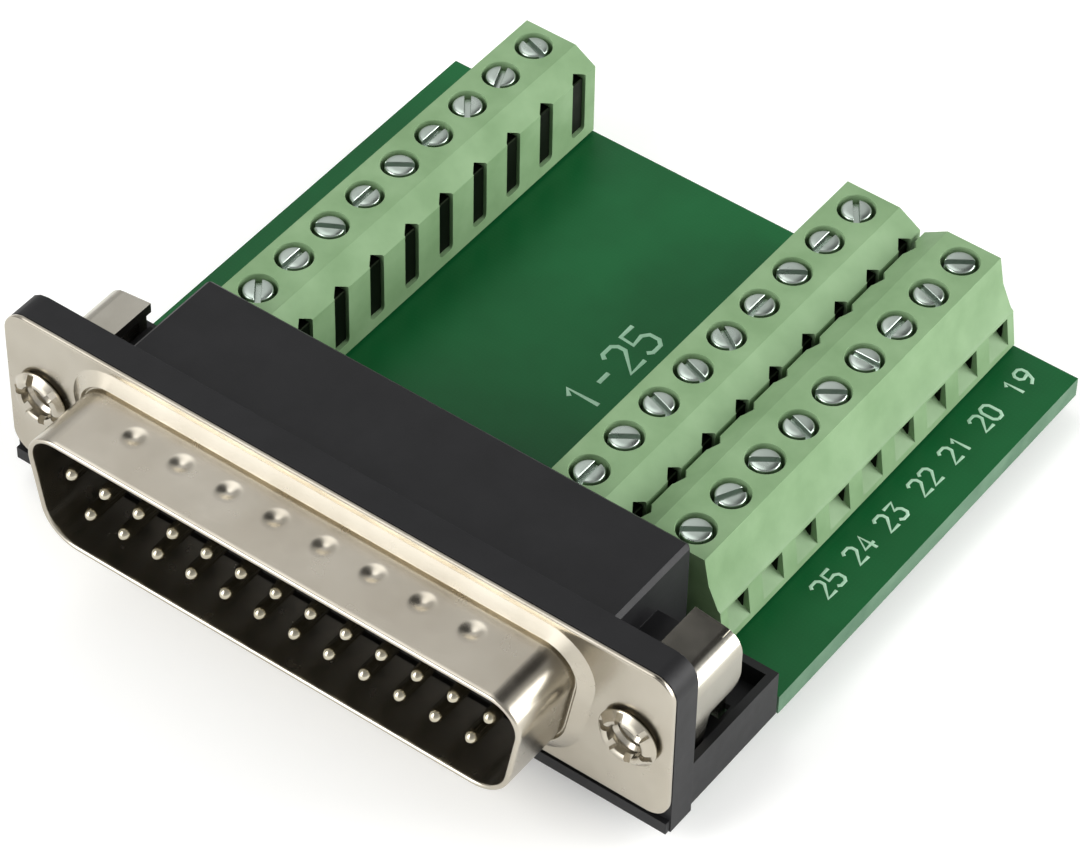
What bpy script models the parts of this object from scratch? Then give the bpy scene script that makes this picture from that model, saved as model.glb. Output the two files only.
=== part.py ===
"""D-sub plug with screw terminals on a small circuit board.

The datum is the middle of the plug's mating face plane: X runs along the plug, Y points away from
the mating side and Z points up. An empty carries every piece, so that the finished part stands on
its solder tails with the origin under the middle of its box.
"""
import math

import bmesh
import bpy
from mathutils import Matrix, Vector

MM = 0.001

# Fits
SEAT_GAP = 0.25 * MM
HOLE_GAP = 0.25 * MM
MERGE_DISTANCE = 0.001 * MM

# Mating face
PINS_UPPER = 13
PINS_LOWER = 12
PIN_PITCH = 2.77 * MM
PIN_ROW_GAP = 2.84 * MM
PIN_DIAMETER = 1.02 * MM
PIN_RECESS = 0.5 * MM
PIN_TAIL_DIAMETER = 0.64 * MM
PIN_TAIL_SETBACK = 4.3 * MM
PIN_TAIL_ROW_GAP = 2.84 * MM
PIN_BEND = 0.9 * MM
PIN_BEND_STEPS = 2
PIN_TIP_SHARE = 0.45
PIN_TAIL_END = 1.3 * MM
PIN_SIDES_RESOLUTION = 1
PIN_HOLE_SIDES = 6

# Front shell, drawn from one sheet
SHELL_SHEET = 0.4 * MM
SKIRT_SIDE_MARGIN = 2.86 * MM
SKIRT_ROW_MARGIN = 2.76 * MM
SKIRT_SLANT = math.radians(10.0)
SKIRT_TOP_CORNER = 1.9 * MM
SKIRT_BOTTOM_CORNER = 2.6 * MM
SKIRT_DEPTH = 6.0 * MM
FLANGE_END_MARGIN = 3.0 * MM
FLANGE_EDGE_MARGIN = 2.095 * MM
FLANGE_CORNER = 1.7 * MM
BEAD_HEIGHT = 0.45 * MM
BEAD_BASE = 1.3 * MM
BEAD_EDGE = 0.2 * MM
CORNER_STEPS = 4
DIMPLES = 8
DIMPLE_PITCH = 3.82 * MM
DIMPLE_INSET = 3.85 * MM
DIMPLE_RADIUS = 0.75 * MM
DIMPLE_FLOOR = 0.3 * MM
DIMPLE_DEPTH = 0.3 * MM
DIMPLE_SIDES = 6

# Threaded inserts
INSERT_MARGIN = 4.04 * MM
INSERT_BARREL = 3.4 * MM
INSERT_BORE = 2.4 * MM
INSERT_LIP = 4.4 * MM
INSERT_LIP_HEIGHT = 0.6 * MM
INSERT_REAR = 1.2 * MM
ROUND_SIDES = 12

# Connector housing
WING_THICKNESS = 1.95 * MM
INSULATOR_STEP = 0.5 * MM
HOOD_TOP = 4.0 * MM
HOOD_COVER = 2.36 * MM
HOOD_ROOF = 1.2 * MM
HOOD_WALL = 1.0 * MM
HOOD_EDGE = 0.3 * MM
SHOULDER_WIDTH = 2.2 * MM
SHOULDER_TOP = 1.0 * MM
SHOULDER_SETBACK = 3.6 * MM
TRAY_RISE = 2.55 * MM
TRAY_FLOOR = 0.55 * MM
TRAY_REAR_WALL = 0.6 * MM
MOULD_STEP = 0.1 * MM

# Brackets, folded from sheet
BRACKET_SHEET = 0.8 * MM
BRACKET_WIDTH = 3.65 * MM
BRACKET_INSET = 1.67 * MM
BRACKET_TOP = 2.3 * MM
BRACKET_SETBACK = 3.1 * MM
BRACKET_BEND = 1.6 * MM
BEND_STEPS = 3
FLAP_DROP = 4.2 * MM
FLAP_CORNER = 1.0 * MM
LEG_DROP = 6.75 * MM
LEG_TOP_DEPTH = 2.85 * MM
LEG_FOOT_DEPTH = 1.75 * MM
FRONT_RECESS = 0.1 * MM
LOCK_WIDTH = 2.2 * MM
LOCK_INSET = 0.45 * MM
LOCK_SLIT = 0.6 * MM
LOCK_BARB = 0.4 * MM

# Circuit board
BOARD_INSET = 0.17 * MM
BOARD_THICKNESS = 1.6 * MM
BOARD_RISE = 0.275 * MM
BOARD_HOLE_SIDES = 6
LOCK_HOLE = 3.2 * MM

# Terminal blocks
POLES = 9
POLE_PITCH = 3.81 * MM
BLOCK_SETBACK = 1.31 * MM
BLOCK_INSET = 0.1 * MM
BLOCK_TOP = 1.3 * MM
LEFT_MARGIN = 8.35 * MM
RIGHT_MARGIN = 8.85 * MM
BLOCK_GAP = 0.34 * MM
ENTRY_SIDE = {"left": -1, "middle": -1, "right": 1}
FRONT_TOP = 2.0 * MM
FRONT_SHOULDER = 2.4 * MM
FRONT_SHOULDER_Z = -0.83 * MM
FRONT_LEDGE = 3.2 * MM
FRONT_LEDGE_Z = -2.6 * MM
FRONT_FOOT = 3.8 * MM
BACK_TOP = 2.25 * MM
BACK_SLOPE_END = 3.6 * MM
BACK_SLOPE_Z = -0.55 * MM
BACK_FOOT = 4.0 * MM
WELL_DIAMETER = 2.7 * MM
WELL_FLOOR = -2.45 * MM
WELL_SIDES = 10
ENTRY_WIDTH = 2.6 * MM
ENTRY_TOP = -3.05 * MM
ENTRY_FLOOR = -5.1 * MM
ENTRY_SILL = -5.4 * MM
ENTRY_SILL_START = 2.4 * MM
ENTRY_BACK = -1.3 * MM
SLOT_WIDTH = 1.45 * MM
SLOT_DEPTH = 2.0 * MM
SLOT_PEAK = -0.05 * MM
SLOT_SHOULDER = -0.8 * MM
SLOT_BOTTOM = -5.2 * MM
SLOT_CORNER = 0.4 * MM
TERMINAL_TAIL = 0.9 * MM
TERMINAL_TAIL_END = 1.5 * MM

# Clamping screws
SCREW_DIAMETER = 2.15 * MM
SCREW_TOP = 1.0 * MM
SCREW_SLOT_WIDTH = 0.45 * MM
SCREW_SLOT_DEPTH = 0.5 * MM
SCREW_SIDES = 10
SCREW_TURNS = {
    "left": (126, 90, 30, 90, 36, 90, 126, 111, -18),
    "middle": (90, 36, -18, -18, -32, 90, 36, 90, 126),
    "right": (36, 63, 36, -18, 36, 0, 90, -18, 36),
}

# Sizes and places that follow from the ones above
SKIRT_WIDTH = (PINS_UPPER - 1) * PIN_PITCH + 2 * SKIRT_SIDE_MARGIN
SKIRT_HEIGHT = PIN_ROW_GAP + 2 * SKIRT_ROW_MARGIN
PIN_TIP_DEPTH = SKIRT_DEPTH - PIN_RECESS
INSERT_SPACING = SKIRT_WIDTH + 2 * INSERT_MARGIN
INSERT_HOLE = INSERT_BARREL + 2 * HOLE_GAP
FLANGE_WIDTH = INSERT_SPACING + 2 * FLANGE_END_MARGIN
FLANGE_HEIGHT = SKIRT_HEIGHT + 2 * FLANGE_EDGE_MARGIN
FLANGE_BACK = SHELL_SHEET
WING_FRONT = FLANGE_BACK + SEAT_GAP
WING_BACK = WING_FRONT + WING_THICKNESS
BOARD_WIDTH = FLANGE_WIDTH - 2 * BOARD_INSET
BOARD_TOP = -(FLANGE_HEIGHT / 2 - BOARD_RISE)
BOARD_BOTTOM = BOARD_TOP - BOARD_THICKNESS
BOARD_NEAR = WING_BACK + SEAT_GAP
SEAT = BOARD_TOP + SEAT_GAP
TAIL_BOTTOM = BOARD_BOTTOM - TERMINAL_TAIL_END
BRACKET_INNER = INSERT_SPACING / 2 - BRACKET_INSET
BRACKET_OUTER = BRACKET_INNER + BRACKET_WIDTH
BRACKET_FRONT = WING_BACK + SEAT_GAP
SHOULDER_OUTER = BRACKET_INNER - SEAT_GAP
HOOD_WIDTH = 2 * (SHOULDER_OUTER - SHOULDER_WIDTH)
PIN_TAIL_ROW_FRONT = WING_BACK + PIN_TAIL_SETBACK
HOOD_REAR = PIN_TAIL_ROW_FRONT + PIN_TAIL_ROW_GAP + HOOD_COVER
SHOULDER_REAR = HOOD_REAR - SHOULDER_SETBACK
BRACKET_REAR = HOOD_REAR - BRACKET_SETBACK
TRAY_INNER = BRACKET_OUTER + SEAT_GAP
TRAY_FLOOR_TOP = SEAT + MOULD_STEP + TRAY_FLOOR
LOCK_CENTRE_X = BRACKET_INNER + LOCK_INSET + LOCK_WIDTH / 2
LOCK_CENTRE_Y = BRACKET_REAR - BRACKET_SHEET / 2
BLOCK_LENGTH = POLES * POLE_PITCH
BLOCK_NEAR = HOOD_REAR + BLOCK_SETBACK
BLOCK_FAR = BLOCK_NEAR + BLOCK_LENGTH
BOARD_FAR = BLOCK_FAR + BLOCK_INSET
RIGHT_BLOCK_X = BOARD_WIDTH / 2 - RIGHT_MARGIN
BLOCK_X = {
    "left": LEFT_MARGIN - BOARD_WIDTH / 2,
    "middle": RIGHT_BLOCK_X - 2 * BACK_FOOT - BLOCK_GAP,
    "right": RIGHT_BLOCK_X,
}
DATUM_Y = -(BOARD_FAR - SKIRT_DEPTH) / 2
DATUM_Z = -TAIL_BOTTOM

PARTS = "dsub_plug"
CUTTERS = "cutters"


def clear_scene():
    for obj in list(bpy.data.objects):
        bpy.data.objects.remove(obj, do_unlink=True)


def collection(name):
    if name not in bpy.data.collections:
        bpy.context.scene.collection.children.link(bpy.data.collections.new(name))
    return bpy.data.collections[name]


def make_object(name, mesh, group=CUTTERS):
    obj = bpy.data.objects.new(name, mesh)
    collection(group).objects.link(obj)
    obj.parent = bpy.data.objects["datum"]
    if group == CUTTERS:
        obj.hide_render = True
        obj.display_type = "WIRE"
    return obj


def material(name, colour, roughness, metallic=0.0):
    mat = bpy.data.materials.get(name) or bpy.data.materials.new(name)
    mat.use_nodes = True
    shader = mat.node_tree.nodes["Principled BSDF"]
    shader.inputs["Base Color"].default_value = (*colour, 1.0)
    shader.inputs["Roughness"].default_value = roughness
    shader.inputs["Metallic"].default_value = metallic
    return mat


def finish(obj, mat, smooth_angle=None):
    obj.data.materials.clear()
    obj.data.materials.append(mat)
    if smooth_angle:
        obj.data.shade_smooth()
        obj.data.set_sharp_from_angle(angle=math.radians(smooth_angle))
    return obj


def mesh_from(name, bm):
    mesh = bpy.data.meshes.new(name)
    bm.to_mesh(mesh)
    bm.free()
    return mesh


def add_box(bm, low, high):
    """Adds a box between two corners."""
    low, high = Vector(low), Vector(high)
    size = high - low
    place = Matrix.Translation((low + high) / 2) @ Matrix.Diagonal((*size, 1.0))
    bmesh.ops.create_cube(bm, size=1.0, matrix=place)


def boxes(name, corner_pairs, group=CUTTERS):
    """One object with a box for each pair of corners."""
    bm = bmesh.new()
    for low, high in corner_pairs:
        add_box(bm, low, high)
    return make_object(name, mesh_from(name, bm), group)


def both_sides(low, high):
    """A box at +X and its twin at -X."""
    twin_low = (-high[0], low[1], low[2])
    twin_high = (-low[0], high[1], high[2])
    return [(low, high), (twin_low, twin_high)]


def add_cone(bm, base, tip, base_radius, tip_radius, sides):
    """Adds a round bar or cone that runs from base to tip."""
    base, tip = Vector(base), Vector(tip)
    run = tip - base
    turn = run.to_track_quat("Z", "Y").to_matrix().to_4x4()
    place = Matrix.Translation((base + tip) / 2) @ turn
    bmesh.ops.create_cone(bm, cap_ends=True, segments=sides, radius1=base_radius,
                          radius2=tip_radius, depth=run.length, matrix=place)


def cones(name, bars, sides, group=CUTTERS):
    """One object with a round bar for each (base, tip, base radius, tip radius)."""
    bm = bmesh.new()
    for base, tip, base_radius, tip_radius in bars:
        add_cone(bm, base, tip, base_radius, tip_radius, sides)
    return make_object(name, mesh_from(name, bm), group)


def fillet(corners, steps=CORNER_STEPS):
    """Outline through (x, y, radius) corners, each rounded by an arc of its radius."""
    points = []
    count = len(corners)
    for i, (x, y, radius) in enumerate(corners):
        here = Vector((x, y))
        if radius <= 0.0:
            points.append(here)
            continue
        before = (Vector(corners[i - 1][:2]) - here).normalized()
        after = (Vector(corners[(i + 1) % count][:2]) - here).normalized()
        half = before.angle(after) / 2
        centre = here + (before + after).normalized() * radius / math.sin(half)
        start = here + before * radius / math.tan(half) - centre
        sweep = start.angle_signed(here + after * radius / math.tan(half) - centre)
        for k in range(steps + 1):
            angle = -sweep * k / steps
            points.append(centre + Matrix.Rotation(angle, 2) @ start)
    return points


def to_mesh(obj):
    """Mesh of an object as evaluated, with doubles merged; the object goes."""
    depsgraph = bpy.context.evaluated_depsgraph_get()
    mesh = bpy.data.meshes.new_from_object(obj.evaluated_get(depsgraph))
    bm = bmesh.new()
    bm.from_mesh(mesh)
    bmesh.ops.remove_doubles(bm, verts=bm.verts, dist=MERGE_DISTANCE)
    bm.to_mesh(mesh)
    bm.free()
    bpy.data.objects.remove(obj, do_unlink=True)
    return mesh


AXES = {
    "x": Matrix(((0, 0, 1, 0), (1, 0, 0, 0), (0, 1, 0, 0), (0, 0, 0, 1))),
    "y": Matrix(((1, 0, 0, 0), (0, 0, -1, 0), (0, 1, 0, 0), (0, 0, 0, 1))),
    "z": Matrix.Identity(4),
}


def plate(name, outline, axis, low, high, group=CUTTERS, copies=(Matrix.Identity(4),)):
    """Flat outline drawn across an axis and made solid between low and high along it.

    Across x the outline is (y, z), across y it is (x, z) and across z it is (x, y).
    """
    curve = bpy.data.curves.new(name, "CURVE")
    curve.dimensions = "2D"
    curve.fill_mode = "BOTH"
    curve.extrude = (high - low) / 2
    spline = curve.splines.new("POLY")
    spline.points.add(len(outline) - len(spline.points))
    for point, (u, v) in zip(spline.points, outline):
        point.co = (u, v, 0.0, 1.0)
    spline.use_cyclic_u = True
    guide = bpy.data.objects.new(name + "_curve", curve)
    collection(CUTTERS).objects.link(guide)
    flat = to_mesh(guide)
    middle = (low + high) / 2
    shift = Matrix.Translation({"x": (middle, 0, 0), "y": (0, middle, 0), "z": (0, 0, middle)}[axis])
    bm = bmesh.new()
    for copy in copies:
        placed = flat.copy()
        placed.transform(copy @ shift @ AXES[axis])
        if copy.determinant() < 0:
            placed.flip_normals()
        bm.from_mesh(placed)
        bpy.data.meshes.remove(placed)
    bmesh.ops.recalc_face_normals(bm, faces=bm.faces)
    return make_object(name, mesh_from(name, bm), group)


def join(obj, operation, *others):
    """Boolean steps on an object, one for each other object."""
    for other in others:
        step = obj.modifiers.new(operation.lower() + "_" + other.name, "BOOLEAN")
        step.operation = operation
        step.solver = "EXACT"
        step.object = other
    return obj


def soften(obj, width, segments=1):
    step = obj.modifiers.new("soft_edges", "BEVEL")
    step.width = width
    step.segments = segments
    step.limit_method = "ANGLE"
    return obj


def d_outline(offset, steps=CORNER_STEPS):
    """Outline of the plug's D, moved outwards from the inside of the skirt by an offset."""
    half = SKIRT_HEIGHT / 2
    slope = math.tan(SKIRT_SLANT)
    wider = offset / math.cos(SKIRT_SLANT)
    top = SKIRT_WIDTH / 2 + offset * slope + wider
    bottom = SKIRT_WIDTH / 2 - (SKIRT_HEIGHT + offset) * slope + wider
    high = half + offset
    top_radius = SKIRT_TOP_CORNER + offset
    bottom_radius = SKIRT_BOTTOM_CORNER + offset
    return fillet([(top, high, top_radius), (-top, high, top_radius),
                   (-bottom, -high, bottom_radius), (bottom, -high, bottom_radius)], steps)


def flange_outline():
    half_width, half_height = FLANGE_WIDTH / 2, FLANGE_HEIGHT / 2
    return fillet([(half_width, half_height, FLANGE_CORNER),
                   (-half_width, half_height, FLANGE_CORNER),
                   (-half_width, -half_height, FLANGE_CORNER),
                   (half_width, -half_height, FLANGE_CORNER)])


def insert_centres():
    return [-INSERT_SPACING / 2, INSERT_SPACING / 2]


def pin_places():
    """(x, z) of each pin from number 1, upper row first."""
    upper = [((i - (PINS_UPPER - 1) / 2) * PIN_PITCH, PIN_ROW_GAP / 2) for i in range(PINS_UPPER)]
    lower = [((i - (PINS_LOWER - 1) / 2) * PIN_PITCH, -PIN_ROW_GAP / 2) for i in range(PINS_LOWER)]
    return upper + lower


def tail_row(z):
    """How far back the tails of a pin row go through the board."""
    return PIN_TAIL_ROW_FRONT + (PIN_TAIL_ROW_GAP if z > 0 else 0.0)


def front_shell():
    """Drawn sheet: flange, shallow bead round the root, D skirt, dimples pressed in its top."""
    outer = SHELL_SHEET
    sections = [
        (flange_outline(), 0.0),
        (d_outline(outer + BEAD_BASE), 0.0),
        (d_outline(outer + BEAD_EDGE), -BEAD_HEIGHT),
        (d_outline(outer), -(BEAD_HEIGHT + BEAD_EDGE)),
        (d_outline(outer), -SKIRT_DEPTH),
    ]
    bm = bmesh.new()
    rings = [[bm.verts.new((x, y, z)) for x, z in outline] for outline, y in sections]
    for ring, following in zip(rings, rings[1:]):
        for i in range(len(ring)):
            bm.faces.new((ring[i - 1], ring[i], following[i], following[i - 1]))
    shell = make_object("front_shell", mesh_from("front_shell", bm), PARTS)
    wall = shell.modifiers.new("sheet", "SOLIDIFY")
    wall.thickness = SHELL_SHEET
    wall.offset = -1.0
    wall.use_even_offset = True

    face = SKIRT_HEIGHT / 2 + SHELL_SHEET
    depth = -(SKIRT_DEPTH - DIMPLE_INSET)
    dents = []
    for i in range(DIMPLES):
        x = (i - (DIMPLES - 1) / 2) * DIMPLE_PITCH
        dents.append(((x, depth, face + DIMPLE_DEPTH), (x, depth, face - DIMPLE_DEPTH),
                      2 * DIMPLE_RADIUS - DIMPLE_FLOOR, DIMPLE_FLOOR))
    dent_cutters = cones("shell_dents", dents, DIMPLE_SIDES)
    holes = cones("shell_holes", [((x, -FLANGE_BACK, 0), (x, 2 * FLANGE_BACK, 0),
                                   INSERT_HOLE / 2, INSERT_HOLE / 2) for x in insert_centres()],
                  ROUND_SIDES)
    join(shell, "DIFFERENCE", dent_cutters, holes)
    return finish(shell, material("nickel_plated_steel", (0.52, 0.49, 0.42), 0.32, 1.0), 35)


def housing_trays():
    """Open trays beside the hood: a floor on the board, an outer wall and a rear wall."""
    half_board = BOARD_WIDTH / 2
    under_hood = HOOD_WIDTH / 2 - HOOD_WALL / 2
    top = BOARD_TOP + TRAY_RISE
    low = BOARD_BOTTOM + SEAT_GAP
    under = SEAT + MOULD_STEP
    outline = [(under_hood, under), (TRAY_INNER, under), (TRAY_INNER, low), (half_board, low),
               (half_board, top), (under_hood, top)]
    trays = plate("trays", outline, "y", WING_BACK - WING_THICKNESS / 2, HOOD_REAR,
                  copies=(Matrix.Identity(4), Matrix.Diagonal((-1.0, 1.0, 1.0, 1.0))))
    pockets = boxes("tray_pockets", both_sides((under_hood - HOOD_WALL, WING_FRONT, TRAY_FLOOR_TOP),
                                               (TRAY_INNER, HOOD_REAR - TRAY_REAR_WALL, top + SEAT_GAP)))
    return join(trays, "DIFFERENCE", pockets)


def connector_housing():
    """Black moulding: insulator face, wings, sill, rear hood, shoulders and the side trays."""
    half_width = FLANGE_WIDTH / 2
    top = FLANGE_HEIGHT / 2
    wings = fillet([(half_width, top, FLANGE_CORNER), (-half_width, top, FLANGE_CORNER),
                    (-half_width, BOARD_BOTTOM, 0), (half_width, BOARD_BOTTOM, 0)])
    housing = plate("connector_housing", wings, "y", WING_FRONT, WING_BACK, PARTS)

    face = plate("insulator_face", d_outline(-SEAT_GAP), "y", -INSULATOR_STEP,
                 WING_FRONT + WING_THICKNESS / 2)
    into_wing = WING_BACK - WING_THICKNESS / 2
    sill_end = half_width - MOULD_STEP
    sill = boxes("sill", [((-sill_end, 0.0, BOARD_BOTTOM + MOULD_STEP),
                           (sill_end, WING_FRONT + SEAT_GAP, -top - SEAT_GAP))])
    hood = boxes("hood", [((-HOOD_WIDTH / 2, into_wing, SEAT), (HOOD_WIDTH / 2, HOOD_REAR, HOOD_TOP))])
    soften(hood, HOOD_EDGE)
    shoulders = boxes("shoulders", both_sides((HOOD_WIDTH / 2 - HOOD_WALL, into_wing, SEAT + SEAT_GAP),
                                              (SHOULDER_OUTER, SHOULDER_REAR, SHOULDER_TOP)))
    join(housing, "UNION", face, sill, hood, housing_trays(), shoulders)

    inner = HOOD_WIDTH / 2 - HOOD_ROOF
    cavity = boxes("hood_cavity", [((-inner, WING_BACK, BOARD_BOTTOM),
                                    (inner, HOOD_REAR - HOOD_WALL, HOOD_TOP - HOOD_ROOF))])
    hole = PIN_DIAMETER / 2 + HOLE_GAP
    pin_holes = cones("pin_holes", [((x, -2 * INSULATOR_STEP, z), (x, WING_BACK + HOLE_GAP, z),
                                     hole, hole) for x, z in pin_places()], PIN_HOLE_SIDES)
    barrel = INSERT_HOLE / 2
    insert_holes = cones("wing_holes", [((x, 0, 0), (x, WING_BACK + HOLE_GAP, 0), barrel, barrel)
                                        for x in insert_centres()], ROUND_SIDES)
    half_lock = LOCK_WIDTH / 2 + HOLE_GAP
    half_sheet = BRACKET_SHEET / 2 + HOLE_GAP
    low = (LOCK_CENTRE_X - half_lock, LOCK_CENTRE_Y - half_sheet, BOARD_TOP)
    high = (LOCK_CENTRE_X + half_lock, LOCK_CENTRE_Y + half_sheet, TRAY_FLOOR_TOP + SEAT_GAP)
    lock_slots = boxes("lock_slots", both_sides(low, high))
    join(housing, "DIFFERENCE", cavity, pin_holes, insert_holes, lock_slots)
    return finish(housing, material("black_polyester", (0.028, 0.028, 0.03), 0.55))


def bracket(side):
    """Folded sheet behind one wing, with its threaded insert and its board lock."""
    mirrored = Matrix.Diagonal((side, 1.0, 1.0, 1.0))
    sheet, bend = BRACKET_SHEET, BRACKET_BEND
    inner, outer = BRACKET_INNER, BRACKET_OUTER
    top = BRACKET_TOP
    foot = top - LEG_DROP
    section = fillet([(inner, top, 0), (outer, top, bend), (outer, foot, 0),
                      (outer - sheet, foot, 0), (outer - sheet, top - sheet, bend - sheet),
                      (inner, top - sheet, 0)], BEND_STEPS)
    name = "bracket_right" if side > 0 else "bracket_left"
    piece = plate(name, section, "y", BRACKET_FRONT, BRACKET_REAR, PARTS, (mirrored,))

    flap = top - FLAP_DROP
    above = flap + 2 * FLAP_CORNER
    below = foot - sheet
    behind = BRACKET_REAR + SEAT_GAP
    beyond = BRACKET_REAR + sheet
    side_cut = fillet([(beyond, above, 0), (behind, above, 0), (behind, flap, FLAP_CORNER + SEAT_GAP),
                       (BRACKET_FRONT + LEG_TOP_DEPTH, flap, 0),
                       (BRACKET_FRONT + LEG_FOOT_DEPTH, below, 0), (beyond, below, 0)], BEND_STEPS)
    trim = plate(name + "_trim", side_cut, "x", outer - 2 * sheet, outer + sheet,
                 copies=(mirrored,))
    join(piece, "DIFFERENCE", trim)

    centre = INSERT_SPACING / 2
    under_top = top - sheet / 2
    front_outline = [(inner, under_top), (outer - bend, under_top), (outer - sheet / 2, top - bend),
                     (outer - sheet / 2, foot), (inner, foot)]
    front = plate(name + "_front", front_outline, "y", BRACKET_FRONT + FRONT_RECESS,
                  BRACKET_FRONT + sheet, copies=(mirrored,))
    join(piece, "UNION", front, board_lock(name, mirrored))

    lip_back = -SEAT_GAP
    lip_front = lip_back - INSERT_LIP_HEIGHT
    x = side * centre
    barrel = cones(name + "_barrel", [((x, lip_front, 0), (x, BRACKET_FRONT + sheet + INSERT_REAR, 0),
                                       INSERT_BARREL / 2, INSERT_BARREL / 2)], ROUND_SIDES)
    lip = cones(name + "_lip", [((x, lip_back, 0), (x, lip_front, 0),
                                 INSERT_LIP / 2, INSERT_BARREL / 2)], ROUND_SIDES)
    bore = cones(name + "_bore", [((x, lip_front - sheet, 0),
                                   (x, BRACKET_FRONT + INSERT_REAR + 2 * sheet, 0),
                                   INSERT_BORE / 2, INSERT_BORE / 2)], ROUND_SIDES)
    join(piece, "UNION", barrel, lip)
    join(piece, "DIFFERENCE", bore)
    return finish(piece, material("tin_plated_steel", (0.6, 0.58, 0.53), 0.28, 1.0), 40)


def board_lock(name, mirrored):
    """Rear leg of a bracket: it ends in two barbed prongs through the board."""
    left = LOCK_CENTRE_X - LOCK_WIDTH / 2
    right = LOCK_CENTRE_X + LOCK_WIDTH / 2
    prong = (LOCK_WIDTH - LOCK_SLIT) / 2
    barb_top = BOARD_BOTTOM - SEAT_GAP
    outline = [(left, BRACKET_TOP), (left, barb_top), (left - LOCK_BARB, barb_top),
               (left + LOCK_BARB, TAIL_BOTTOM), (left + prong, TAIL_BOTTOM),
               (left + prong, BOARD_TOP + LOCK_SLIT), (right - prong, BOARD_TOP + LOCK_SLIT),
               (right - prong, TAIL_BOTTOM), (right - LOCK_BARB, TAIL_BOTTOM),
               (right + LOCK_BARB, barb_top), (right, barb_top), (right, BRACKET_TOP)]
    return plate(name + "_lock", outline, "y", BRACKET_REAR - BRACKET_SHEET, BRACKET_REAR,
                 copies=(mirrored,))


def contact_pins():
    """Right-angle contacts: round rod in front, thinner behind, bent down through the board."""
    gold = material("gold_flashed_brass", (0.75, 0.68, 0.5), 0.25, 1.0)
    meshes = {}
    for number, (x, z) in enumerate(pin_places(), start=1):
        if z not in meshes:
            meshes[z] = pin_mesh(z)
        pin = make_object("contact_pin_%d" % number, meshes[z], PARTS)
        pin.location = (x, 0.0, 0.0)
        finish(pin, gold, 40)


def pin_mesh(z):
    back = tail_row(z)
    tail = PIN_TAIL_DIAMETER / PIN_DIAMETER
    tip = -PIN_TIP_DEPTH
    steps = [(tip, z, PIN_TIP_SHARE), (tip + PIN_DIAMETER / 2, z, 1.0), (WING_BACK, z, 1.0)]
    bend_z = z - PIN_BEND
    for k in range(PIN_BEND_STEPS + 1):
        angle = k * math.pi / 2 / PIN_BEND_STEPS
        steps.append((back - PIN_BEND + PIN_BEND * math.sin(angle),
                      bend_z + PIN_BEND * math.cos(angle), tail))
    steps.append((back, BOARD_BOTTOM - PIN_TAIL_END, tail))
    curve = bpy.data.curves.new("pin", "CURVE")
    curve.dimensions = "3D"
    curve.bevel_depth = PIN_DIAMETER / 2
    curve.bevel_resolution = PIN_SIDES_RESOLUTION
    curve.use_fill_caps = True
    spline = curve.splines.new("POLY")
    spline.points.add(len(steps) - 1)
    for point, (y, height, radius) in zip(spline.points, steps):
        point.co = (0.0, y, height, 1.0)
        point.radius = radius
    rod = bpy.data.objects.new("pin_curve", curve)
    collection(CUTTERS).objects.link(rod)
    return to_mesh(rod)


def circuit_board():
    """Board with cleared front corners, pin holes, terminal holes and board lock holes."""
    half = BOARD_WIDTH / 2
    narrow = TRAY_INNER - SEAT_GAP
    notch = HOOD_REAR + SEAT_GAP
    board = boxes("circuit_board", [((-half, BOARD_NEAR, BOARD_BOTTOM), (half, BOARD_FAR, BOARD_TOP))],
                  PARTS)
    above, below = BOARD_TOP + SEAT_GAP, BOARD_BOTTOM - SEAT_GAP
    corners = boxes("board_corners", both_sides((narrow, BOARD_NEAR - SEAT_GAP, below),
                                                (half + SEAT_GAP, notch, above)))
    tail_hole = PIN_TAIL_DIAMETER / 2 + HOLE_GAP
    half_tail = TERMINAL_TAIL / 2
    block_hole = math.hypot(half_tail, half_tail) + HOLE_GAP
    bars = [((x, tail_row(z), above), (x, tail_row(z), below), tail_hole, tail_hole)
            for x, z in pin_places()]
    bars += [((x, y, above), (x, y, below), block_hole, block_hole) for x, y in pole_places()]
    holes = cones("board_holes", bars, BOARD_HOLE_SIDES)
    locks = cones("lock_holes", [((side * LOCK_CENTRE_X, LOCK_CENTRE_Y, above),
                                  (side * LOCK_CENTRE_X, LOCK_CENTRE_Y, below),
                                  LOCK_HOLE / 2, LOCK_HOLE / 2) for side in (1, -1)], ROUND_SIDES)
    join(board, "DIFFERENCE", corners, holes, locks)
    return finish(board, material("green_solder_mask", (0.014, 0.15, 0.05), 0.35))


def pole_centres():
    return [BLOCK_NEAR + (i + 0.5) * POLE_PITCH for i in range(POLES)]


def pole_places():
    return [(BLOCK_X[row], y) for row in BLOCK_X for y in pole_centres()]


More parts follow.
